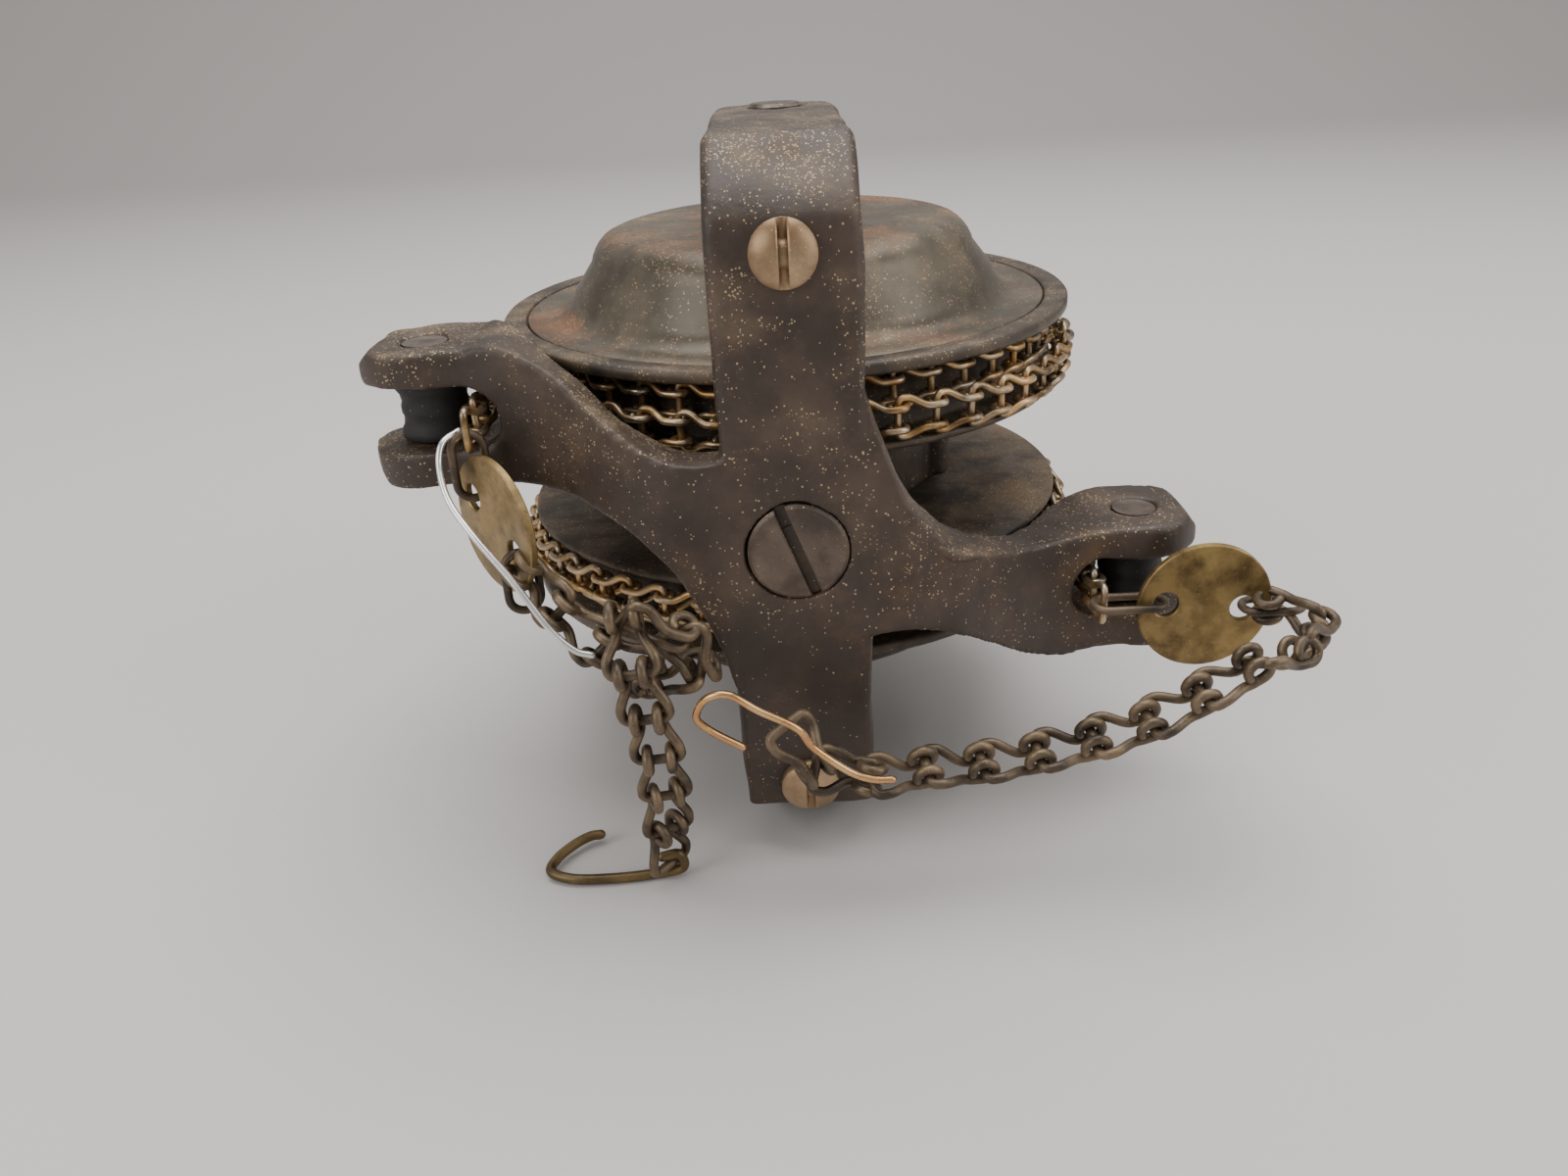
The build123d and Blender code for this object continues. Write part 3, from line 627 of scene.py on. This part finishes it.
def drum_profile():
    """The spool's section: inner flange, wall and brim, with a seat for the cover."""
    low, top = FLANGE_Z, BRIM_Z
    flange_r, wall, seat = DRUM_R - 1.0, DRUM_WALL_R, COVER_EDGE + 0.25
    out = [(6.7, low), (flange_r - 0.4, low), (flange_r, low + 0.4), (flange_r, low + 1.0)]
    out += [(flange_r - 0.4, low + 1.4), (wall + 0.5, low + 1.4), (wall, low + 2.0), (wall, top - 3.0)]
    out += [(wall + 0.6, top - 2.4), (DRUM_R - 0.5, top - 2.1), (DRUM_R, top - 1.6), (DRUM_R, top - 0.4)]
    out += [(DRUM_R - 0.35, top), (seat + 0.3, top), (seat, top - 0.3), (seat, top - 1.15)]
    out += [(wall - 1.9, top - 1.15), (wall - 1.9, low + 1.4), (9.6, low + 1.4), (9.6, low + 5)]
    out += [(6.7, low + 5)]
    return np.array(out)


def both_halves(name, mesh, material, body_word="drum", nodes=()):
    """The piece on the upper half and, turned half round, on the lower half."""
    for half, turn in (("upper", lambda v: v), ("lower", half_turn)):
        names = tuple(f"{half}_{node}" for node in nodes)
        body = "frame" if body_word == "frame" else f"{half}_{body_word}"
        mesh_piece(f"{half}_{name}", lift(turn(mesh[0])), mesh[1], material, body, names)


both_halves("cover_sheet", lathe(cover_profile(), 192, dented), cover_metal,
            nodes=["dome_cover"])
both_halves("drum_spool", lathe(drum_profile(), 192), drum_metal, nodes=["chain_drum"])

drum_link = link_mesh(DRUM_PITCH, DRUM_WIRE, DRUM_CHAIN_WIDE, 0.12, 4, 8)


def turn_of_chain(radius, level, links, start, seed, loose):
    """Rungs round the axle, a pitch apart, with a little slack up, down and outwards."""
    angle = math.pi - start - np.arange(links + 1) * 2 * math.asin(DRUM_PITCH / 2 / radius)
    rng = np.random.default_rng(seed)
    phase = rng.uniform(0, 6.28, 3)
    slack = loose * (np.sin(3 * angle + phase[0]) + 0.6 * np.sin(5 * angle + phase[1]))
    r = radius + 0.2 * loose * np.sin(4 * angle + phase[2])
    rungs = np.stack([r * np.cos(angle), r * np.sin(angle), level + slack], -1)
    across = np.tile([0.0, 0.0, 1.0], (links + 1, 1))
    across[:, 0] += 0.06 * np.sin(6 * angle)
    return chain_mesh(drum_link, rungs[::-1], across, seed)


outer_r = CHAIN_OUT - 0.2
both_halves("outer_turn_links", turn_of_chain(outer_r, CHAIN_Z - 2.3, 46, 0.12, 3, 0.45), drum_chain,
            nodes=["outer_chain_turn"])
inner_r = inner_high[0] - 0.6
both_halves("inner_turn_links", turn_of_chain(inner_r, CHAIN_Z + 1.0, 43, 0.3, 5, 0.35), drum_chain,
            nodes=["inner_chain_turn"])

lead_count = 7
lead_y = lead_low[1] + DRUM_WIRE / 2 + DRUM_PITCH * np.arange(lead_count + 1)
lead_rungs = np.stack([LEAD_X + 0 * lead_y, lead_y, CHAIN_Z + 0 * lead_y], -1)
lead_mesh = chain_mesh(drum_link, lead_rungs, np.tile([0.0, 0.0, 1.0], (lead_count + 1, 1)), 2)
both_halves("lead_links", lead_mesh, drum_chain, "frame", ["chain_lead"])


def roller_profile():
    """The roller's section: a bore, two plain ends and a waist with a low ridge."""
    half = ROLLER_HALF
    r = (roller_high[0] - roller_low[0]) / 2
    out = [(3.55, -half), (r - 0.4, -half), (r, -half + 0.4), (r, -half + 1.5), (r - 0.5, -half + 2.3)]
    out += [(r - 0.7, -1.2), (r - 0.45, -0.5), (r - 0.45, 0.5), (r - 0.7, 1.2), (r - 0.5, half - 2.3)]
    out += [(r, half - 1.5), (r, half - 0.4), (r - 0.4, half), (3.55, half)]
    return np.array(out)


roller = lathe(roller_profile(), 64)
roller_place = [(roller_low[0] + roller_high[0]) / 2, (roller_low[1] + roller_high[1]) / 2, CHAIN_Z]
both_halves("roller_spool", (roller[0] + roller_place, roller[1]), black, "roller",
            ["guide_roller"])


def screw_head(radius, high, slot_wide, slot_deep):
    """A round head with a slot right across it, standing up +Z from a flat base.

    Points run across the head in x and along the slot in y, y reaching +-sqrt(R^2 - x^2). The
    top is the dome H sqrt(1 - 0.8 (x^2 + y^2) / R^2), held down to H - D inside the slot.
    """
    edge = slot_wide / 2 / radius
    flank = np.sin(np.linspace(np.arcsin(edge + 0.012), np.pi / 2, 16))
    cross = np.concatenate([-flank[::-1], [-edge, 0, edge], flank]) * 0.9995
    along = np.sin(np.linspace(-1, 1, 29) * np.pi / 2)
    x = (cross * radius)[:, None] + 0 * along
    y = along * np.sqrt(radius**2 - x**2)
    dome = high * np.sqrt(1 - 0.8 * np.minimum((x**2 + y**2) / radius**2, 1))
    in_slot = np.abs(x) <= slot_wide / 2 + 1e-6
    top = np.where(in_slot, np.minimum(dome, high - slot_deep), dome)
    ring_x = np.concatenate([x, x[:, ::-1]], 1)
    ring_y = np.concatenate([y, y[:, ::-1]], 1)
    ring_z = np.concatenate([top, 0 * top - 0.6], 1)
    rows, cols = ring_x.shape
    faces = [face[::-1] for face in grid_faces(rows, cols).tolist()]
    faces.append(list(range(cols)))
    faces.append(list(range((rows - 1) * cols, rows * cols))[::-1])
    return np.stack([ring_x, ring_y, ring_z], -1).reshape(-1, 3), faces


def on_strap(points):
    """The head's points set on the leaning strap, its Z turned to the front and a little up."""
    x, y, z = points.T
    lean = math.radians(SCREW_LEAN)
    front, up = math.cos(lean), math.sin(lean)
    return np.stack([x, y * up - z * front - SCREW_FRONT, y * front + z * up + SCREW_UP], -1)


screw_low, screw_high = box_mm("upper_brass_screw")
shank = np.stack([np.zeros(8), np.zeros(8), np.linspace(0.2, -8.4, 8)], -1)
head = screw_head((screw_high[0] - screw_low[0]) / 2, SCREW_HIGH, SLOT_WIDE, SLOT_DEEP)
screw = join(head, tube(shank, SHANK_R, 24))
both_halves("brass_screw_turned", (on_strap(screw[0]), screw[1]), screw_brass,
            "frame", ["brass_screw"])

# ---- free chains and wires: listed points from the hub's middle, mm ----
LEFT_CHAIN = [
    (-40.8, -57.0, -1.8, 0.7, -0.6, 0.5), (-38.4, -59.0, -4.0, 0.8, -0.4, 0.5),
    (-34.0, -61.5, -8.6, 0.9, -0.1, 0.5), (-28.0, -62.8, -14.2, 0.8, 0.1, 0.6),
    (-21.5, -63.0, -18.4, 0.6, 0.4, 0.7), (-16.4, -64.0, -17.4, 0.3, 0.7, 0.6),
    (-14.6, -65.6, -12.6, 0.9, 0.4, 0.0), (-18.0, -67.0, -8.0, 0.7, 0.2, -0.6),
    (-23.0, -68.2, -5.4, 0.8, 0.2, -0.4), (-26.4, -69.4, -4.2, 1.0, 0.0, -0.1),
    (-25.4, -71.0, -6.6, 1.0, -0.1, -0.1), (-24.0, -71.4, -14.0, 1.0, -0.05, -0.1),
    (-22.8, -69.8, -23.0, 1.0, 0.0, 0.0), (-22.2, -67.5, -32.0, 1.0, 0.0, 0.05),
    (-22.5, -65.2, -40.5, 1.0, 0.1, 0.1), (-23.0, -63.4, -47.0, 0.9, 0.4, 0.1),
    (-23.4, -62.2, -53.0, 0.7, 0.7, 0.1),
]
RIGHT_CHAIN = [
    (73.6, -50.0, -18.0, 0.0, 0.3, 1.0), (77.6, -52.6, -18.0, -0.3, 0.2, 1.0),
    (79.4, -56.6, -18.8, -0.5, 0.1, 0.9), (77.4, -60.4, -19.4, -0.3, -0.3, 0.9),
    (72.4, -63.4, -19.2, -0.1, -0.6, 0.8), (66.4, -65.6, -19.0, 0.1, -0.9, 0.4),
    (61.0, -66.4, -21.6, 0.2, -0.95, 0.0), (56.0, -66.5, -25.0, 0.2, -0.95, -0.2),
    (50.0, -66.5, -28.0, 0.15, -0.95, -0.3),
    (42.0, -66.5, -30.5, 0.15, -0.95, -0.3), (33.5, -66.5, -32.4, 0.15, -0.95, -0.3),
    (25.0, -67.0, -33.3, 0.15, -0.95, -0.3), (16.5, -67.8, -33.0, 0.15, -0.95, -0.3),
    (9.0, -69.0, -33.4, 0.3, -0.9, -0.3), (2.5, -69.5, -33.5, 0.7, -0.3, -0.6),
    (-0.5, -69.5, -28.0, 0.9, 0.2, -0.4), (-3.2, -69.0, -23.5, 0.9, 0.3, -0.3),
]
COPPER_WIRE = [
    (-9.7, -70.5, -25.9), (-14.0, -71.0, -22.6), (-15.9, -72.0, -19.5), (-14.2, -73.0, -16.0),
    (-10.9, -73.5, -15.2), (-6.9, -73.5, -18.0), (-1.6, -73.5, -21.3), (0.6, -73.0, -25.0),
    (5.6, -73.0, -29.4), (9.0, -73.0, -31.0), (12.0, -72.5, -31.6),
]
STEEL_WIRE = [
    (-49.5, -47.0, 17.0), (-51.5, -49.5, 16.0), (-52.0, -51.5, 13.0), (-50.5, -55.0, 9.0),
    (-47.0, -58.5, 5.0), (-41.5, -62.0, -1.0), (-36.5, -65.0, -7.5), (-33.0, -66.5, -10.5),
    (-30.5, -66.5, -11.5),
]

lamp_link = link_mesh(LAMP_PITCH, LAMP_WIRE, LAMP_CHAIN_WIDE, 0.2, 5, 10)
for side, route, nodes in (("left", LEFT_CHAIN, ("left_lamp_chain", "left_end_link")),
                           ("right", RIGHT_CHAIN, ("right_lamp_chain",))):
    rungs, across = stepped(route, LAMP_PITCH)
    verts, faces = chain_mesh(lamp_link, rungs[::-1], across[::-1], 11)
    mesh_piece(f"{side}_lamp_chain_links", lift(verts), faces, lamp_chain, "frame",
               nodes)

for name, route, thick, material, slot in (
        ("copper_tie_wire", COPPER_WIRE, COPPER_THICK, copper, "tie_copper"),
        ("steel_tie_wire", STEEL_WIRE, STEEL_THICK, tinned, "tie_steel")):
    verts, faces = tube(curve_through(route), thick / 2, 14)
    mesh_piece(name + "_drawn", lift(verts), faces, material, "frame", (name,))


HOOK_LOW = [
    (-24.6, -62.2, -51.6), (-21.9, -62.0, -51.4), (-21.6, -61.9, -54.2), (-26.5, -62.0, -55.1),
    (-33.0, -62.6, -55.1), (-39.5, -62.4, -55.0), (-43.4, -60.4, -54.9), (-42.8, -57.2, -54.7),
    (-40.4, -54.2, -54.4), (-38.0, -52.4, -54.2), (-36.2, -52.0, -54.2),
]
verts, faces = tube(curve_through(HOOK_LOW), HOOK_THICK / 2, 14)
mesh_piece("bent_wire_hook", lift(verts), faces, hook_brass, "hook", ("chain_hook",))

BEAD = [(11.6, -57.2, 15.0), (12.6, -57.8, 11.0), (14.2, -58.2, 6.0), (17.4, -58.0, 1.2),
        (22.4, -57.0, -2.8), (28.0, -54.6, -4.6)]
bead_line = curve_through(BEAD)
bead_reach = np.linspace(0, np.pi, len(bead_line))
bead = tube(bead_line, 0.2 + 1.1 * np.sin(bead_reach) ** 0.5)
mesh_piece("lower_edge_bead", lift(bead[0]), bead[1], iron, "frame")


# ---- floor, light and camera ----
def floor():
    """A plain pale floor that curves up far behind the object."""
    t = np.linspace(0, 1, 40)
    y = np.where(t < 0.6, -1.2 + t / 0.6 * 2.2, 1.0 + 0.5 * np.sin((t - 0.6) / 0.4 * np.pi / 2))
    z = np.where(t < 0.6, 0.0, 0.5 * (1 - np.cos((t - 0.6) / 0.4 * np.pi / 2)))
    x = np.linspace(-2, 2, 12)
    grid = np.stack(np.broadcast_arrays(x[None], y[:, None], z[:, None] - 0.0002), -1)
    mesh = bpy.data.meshes.new("pale_floor")
    mesh.from_pydata(grid.reshape(-1, 3).tolist(), [], grid_faces(40, 12, False, False).tolist())
    mesh.polygons.foreach_set("use_smooth", np.ones(len(mesh.polygons), bool))
    obj = bpy.data.objects.new("pale_floor", mesh)
    bpy.context.scene.collection.objects.link(obj)
    material = bpy.data.materials.new("pale_cloth_floor")
    material.use_nodes = True
    shader = material.node_tree.nodes["Principled BSDF"]
    shader.inputs["Base Color"].default_value = srgb(196, 192, 190)
    shader.inputs["Roughness"].default_value = 0.9
    mesh.materials.append(material)


def area_light(name, place, aim, size, power):
    """A soft square light aimed at a point."""
    data = bpy.data.lights.new(name, "AREA")
    data.size, data.energy = size, power
    obj = bpy.data.objects.new(name, data)
    bpy.context.scene.collection.objects.link(obj)
    obj.location = place
    way = Vector(aim) - Vector(place)
    obj.rotation_euler = way.to_track_quat("-Z", "Y").to_euler()


def camera():
    """Seen from the front and above, about 22 cm away, with the camera rolled a little."""
    yaw, pitch, roll = (math.radians(a) for a in (-0.69, 25.85, -3.37))
    ahead = np.array([math.sin(yaw) * math.cos(pitch), math.cos(yaw) * math.cos(pitch), -math.sin(pitch)])
    right = np.array([math.cos(yaw), -math.sin(yaw), 0.0])
    up = np.cross(right, ahead)
    right, up = (right * math.cos(roll) + up * math.sin(roll),
                 up * math.cos(roll) - right * math.sin(roll))
    data = bpy.data.cameras.new("camera")
    data.lens, data.sensor_width, data.clip_start = 27.68, 36.0, 0.01
    obj = bpy.data.objects.new("camera", data)
    bpy.context.scene.collection.objects.link(obj)
    place = np.array([-0.5, -219.2, 71.6 + MIDDLE]) * MM
    columns = np.stack([right, up, -ahead, place], 1)
    obj.matrix_world = Matrix([*columns.tolist(), [0, 0, 0, 1]])
    bpy.context.scene.camera = obj


floor()
area_light("top_light", (0.05, 0.15, 0.9), (0, 0, 0.05), 0.9, 11.0)
area_light("left_light", (-0.7, -0.5, 0.5), (0, 0, 0.05), 0.6, 4.0)
area_light("right_light", (0.8, -0.3, 0.45), (0, 0, 0.05), 0.6, 3.5)
world = bpy.data.worlds.new("studio")
world.use_nodes = True
world.node_tree.nodes["Background"].inputs["Color"].default_value = (1.0, 0.98, 0.95, 1)
world.node_tree.nodes["Background"].inputs["Strength"].default_value = 0.45
bpy.context.scene.world = world
camera()
